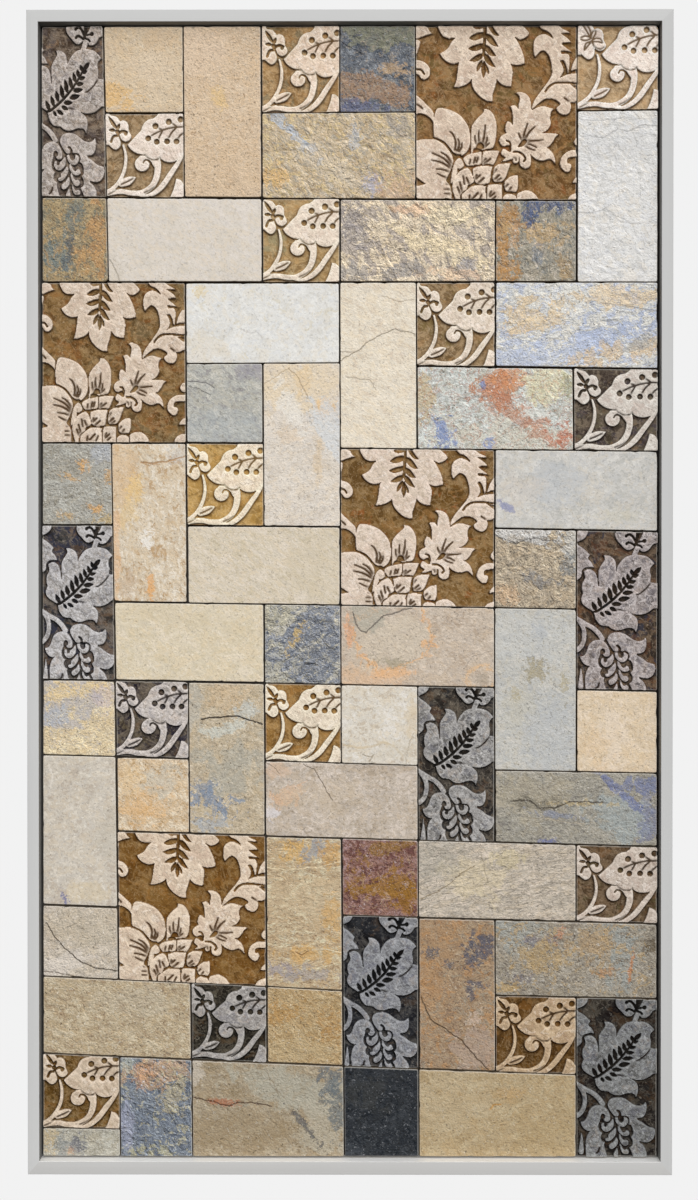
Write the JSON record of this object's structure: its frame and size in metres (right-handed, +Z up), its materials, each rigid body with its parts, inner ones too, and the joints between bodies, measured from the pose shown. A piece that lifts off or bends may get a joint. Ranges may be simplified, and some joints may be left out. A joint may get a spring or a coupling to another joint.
{
  "type": "stone relief panel",
  "caption": "Framed wall panel of tumbled stone tiles, plain ones mixed with tiles carved in low relief with leaves, berries and flowers.",
  "frame": {"origin": "middle of the panel's back, on the back face of the backing board", "axes": "+Z up along the panel's height, +X to the right as the front is seen, +Y out of the back towards the wall; the front faces -Y"},
  "size_m": [0.84, 0.035, 1.516],
  "materials": {
    "backing_board": "matt dark building board with the stones bedded on it",
    "frame_metal": "satin silver-grey, lightly brushed and dulled",
    "stone_beige": "split face of beige stone, matt, with tan patches",
    "stone_blue_grey": "blue-grey stone with small cracks",
    "stone_cream": "split face of cream stone, matt, with yellow and grey mottling",
    "stone_grey_green": "grey-green stone with orange patches",
    "stone_khaki": "khaki and grey stone with streaks",
    "stone_ochre": "ochre and orange stone with pale veins",
    "stone_pale_grey": "near-white split stone",
    "stone_raised_cream": "carved stone: pale cream raised carving over a brown-stained ground",
    "stone_raised_grey": "carved stone: pale grey raised carving over a dark brown to near-black ground",
    "stone_rust": "red-brown stone with an ochre middle",
    "stone_slate": "dark blue-grey slate with brown bands",
    "stone_tan": "rough tan stone with dark specks"
  },
  "bodies": {
    "root": {"backing_board": "backing_board", "berry_stone_S01": "stone_raised_cream", "berry_stone_S02": "stone_raised_cream", "berry_stone_S03": "stone_raised_cream", "berry_stone_S04": "stone_raised_cream", "berry_stone_S05": "stone_raised_cream", "berry_stone_S06": "stone_raised_cream", "berry_stone_S07": "stone_raised_cream", "berry_stone_S08": "stone_raised_grey", "berry_stone_S09": "stone_raised_cream", "berry_stone_S10": "stone_raised_cream", "berry_stone_S11": "stone_raised_grey", "berry_stone_S12": "stone_raised_cream", "berry_stone_S13": "stone_raised_cream", "damask_stone_L01": "stone_raised_cream", "damask_stone_L02": "stone_raised_cream", "damask_stone_L03": "stone_raised_cream", "damask_stone_L04": "stone_raised_cream", "fern_stone_T01": "stone_raised_grey", "fern_stone_T02": "stone_raised_grey", "fern_stone_T03": "stone_raised_grey", "fern_stone_T04": "stone_raised_grey", "fern_stone_T05": "stone_raised_grey", "fern_stone_T06": "stone_raised_grey", "frame_bottom": "frame_metal", "frame_left": "frame_metal", "frame_right": "frame_metal", "frame_top": "frame_metal", "plain_stone_P03": "stone_slate", "plain_stone_P04": "stone_tan", "plain_stone_P11": "stone_cream", "plain_stone_P14": "stone_cream", "plain_stone_P20": "stone_tan", "plain_stone_P22": "stone_slate", "plain_stone_P23": "stone_beige", "plain_stone_P24": "stone_blue_grey", "plain_stone_P27": "stone_beige", "plain_stone_P31": "stone_beige", "plain_stone_P34": "stone_rust", "plain_stone_P35": "stone_grey_green", "plain_stone_P41": "stone_slate", "plain_stone_P42": "stone_tan", "plain_stone_P43": "stone_slate", "plain_stone_P44": "stone_cream", "plain_stone_P45": "stone_pale_grey", "plain_stones_P01_P02": "stone_beige", "plain_stones_P05_P12": "stone_pale_grey", "plain_stones_P06_P07": "stone_grey_green", "plain_stones_P08_P09": "stone_khaki", "plain_stones_P10_P13": "stone_pale_grey", "plain_stones_P15_P18": "stone_pale_grey", "plain_stones_P16_P17": "stone_beige", "plain_stones_P19_P21": "stone_cream", "plain_stones_P25_P29": "stone_cream", "plain_stones_P26_P30": "stone_khaki", "plain_stones_P28_P32": "stone_cream", "plain_stones_P33_P40": "stone_ochre", "plain_stones_P36_P39": "stone_tan", "plain_stones_P37_P38": "stone_ochre"}
  },
  "joints": []
}
